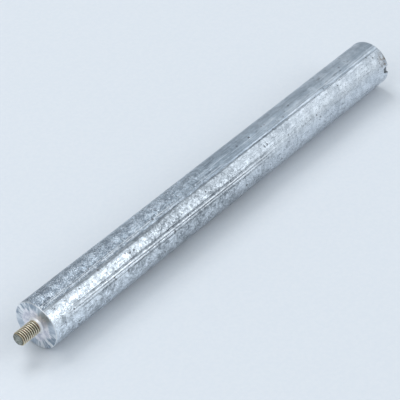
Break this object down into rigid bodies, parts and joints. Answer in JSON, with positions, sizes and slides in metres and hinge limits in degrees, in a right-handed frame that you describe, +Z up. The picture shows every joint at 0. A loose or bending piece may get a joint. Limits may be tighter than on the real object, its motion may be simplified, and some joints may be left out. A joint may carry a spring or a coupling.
{
  "type": "sacrificial anode",
  "caption": "Cast magnesium anode rod on a steel core, with a short threaded stud standing out of its machined end.",
  "frame": {"origin": "centre of the machined face, where the stud leaves the rod", "axes": "+X along the rod's axis and out of the stud; +Z up as the rod lies on its side"},
  "size_m": [0.23, 0.021, 0.021],
  "materials": {
    "magnesium": "cast magnesium, mottled light grey, with mould marks along it",
    "passivated_steel": "zinc plated and yellow passivated"
  },
  "bodies": {
    "root": {"cast_rod": "magnesium", "steel_core": "passivated_steel"}
  },
  "joints": []
}
